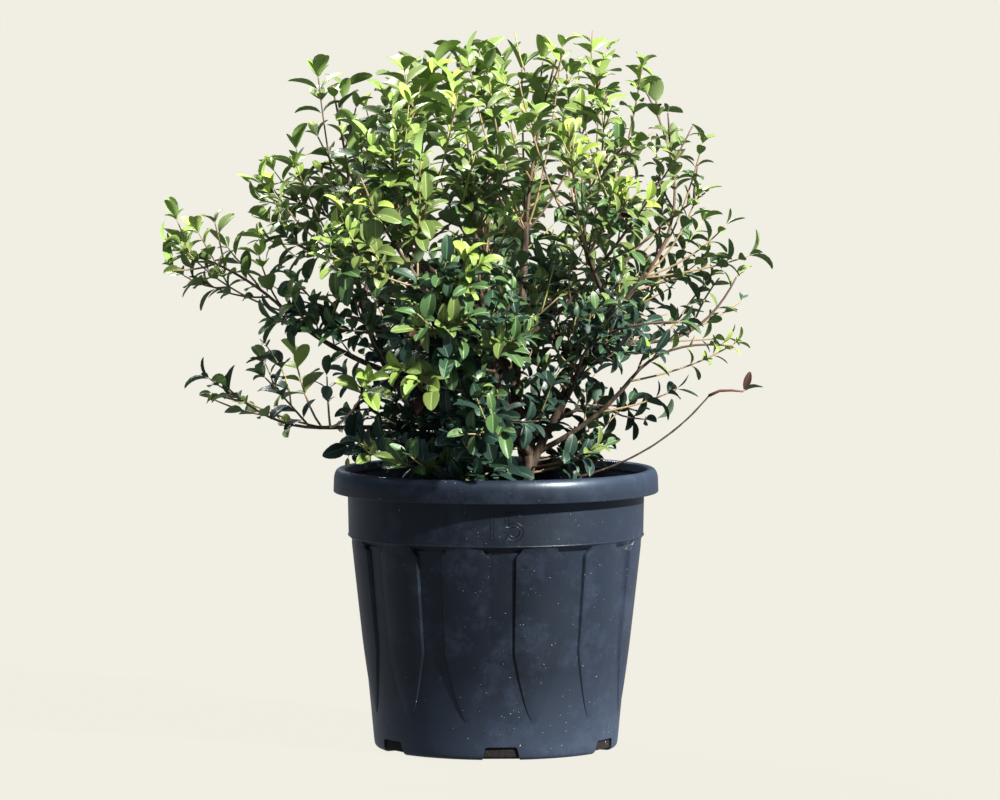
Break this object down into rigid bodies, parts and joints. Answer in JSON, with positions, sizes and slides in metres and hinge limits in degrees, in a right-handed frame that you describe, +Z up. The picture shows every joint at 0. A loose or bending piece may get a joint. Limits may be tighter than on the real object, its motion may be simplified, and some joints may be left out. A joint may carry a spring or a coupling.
{
  "type": "potted burkwood osmanthus",
  "caption": "Evergreen flowering shrub with small glossy leaves on upright branches, rooted in a round black nursery pot filled with potting mix.",
  "frame": {"origin": "middle of the pot's flat underside", "axes": "+Z up along the pot's axis, -Y towards the front in the picture, +X to its right"},
  "size_m": [0.6251, 0.5151, 0.7062],
  "materials": {
    "pot": "satin",
    "potting_mix": "matt",
    "bark": "matt",
    "leaf": "glossy"
  },
  "bodies": {
    "root": {"bough_left_arm": "bark", "bough_low_left_arm": "bark", "bough_low_right_arm": "bark", "bough_lower_1": "bark", "bough_lower_2": "bark", "bough_lower_3": "bark", "bough_lower_4": "bark", "bough_lower_5": "bark", "bough_middle_1": "bark", "bough_middle_2": "bark", "bough_middle_3": "bark", "bough_middle_4": "bark", "bough_middle_5": "bark", "bough_right_arm": "bark", "bough_skirt_1": "bark", "bough_skirt_2": "bark", "bough_skirt_3": "bark", "bough_upper_1": "bark", "bough_upper_2": "bark", "bough_upper_3": "bark", "bough_upper_4": "bark", "bough_whip": "bark", "foliage_inner_back": "leaf", "foliage_inner_front": "leaf", "foliage_inner_left": "leaf", "foliage_inner_right": "leaf", "foliage_left_arm": "leaf", "foliage_low_left_arm": "leaf", "foliage_low_right_arm": "leaf", "foliage_lower_1": "leaf", "foliage_lower_2": "leaf", "foliage_lower_3": "leaf", "foliage_lower_4": "leaf", "foliage_lower_5": "leaf", "foliage_middle_1": "leaf", "foliage_middle_2": "leaf", "foliage_middle_3": "leaf", "foliage_middle_4": "leaf", "foliage_middle_5": "leaf", "foliage_right_arm": "leaf", "foliage_skirt_1": "leaf", "foliage_skirt_2": "leaf", "foliage_skirt_3": "leaf", "foliage_stem_back": "leaf", "foliage_stem_front": "leaf", "foliage_stem_left": "leaf", "foliage_stem_right": "leaf", "foliage_trunk": "leaf", "foliage_upper_1": "leaf", "foliage_upper_2": "leaf", "foliage_upper_3": "leaf", "foliage_upper_4": "leaf", "foliage_whip": "leaf", "pot": "pot", "potting_mix": "potting_mix", "stem_back": "bark", "stem_front": "bark", "stem_left": "bark", "stem_right": "bark", "trunk": "bark"}
  },
  "joints": []
}
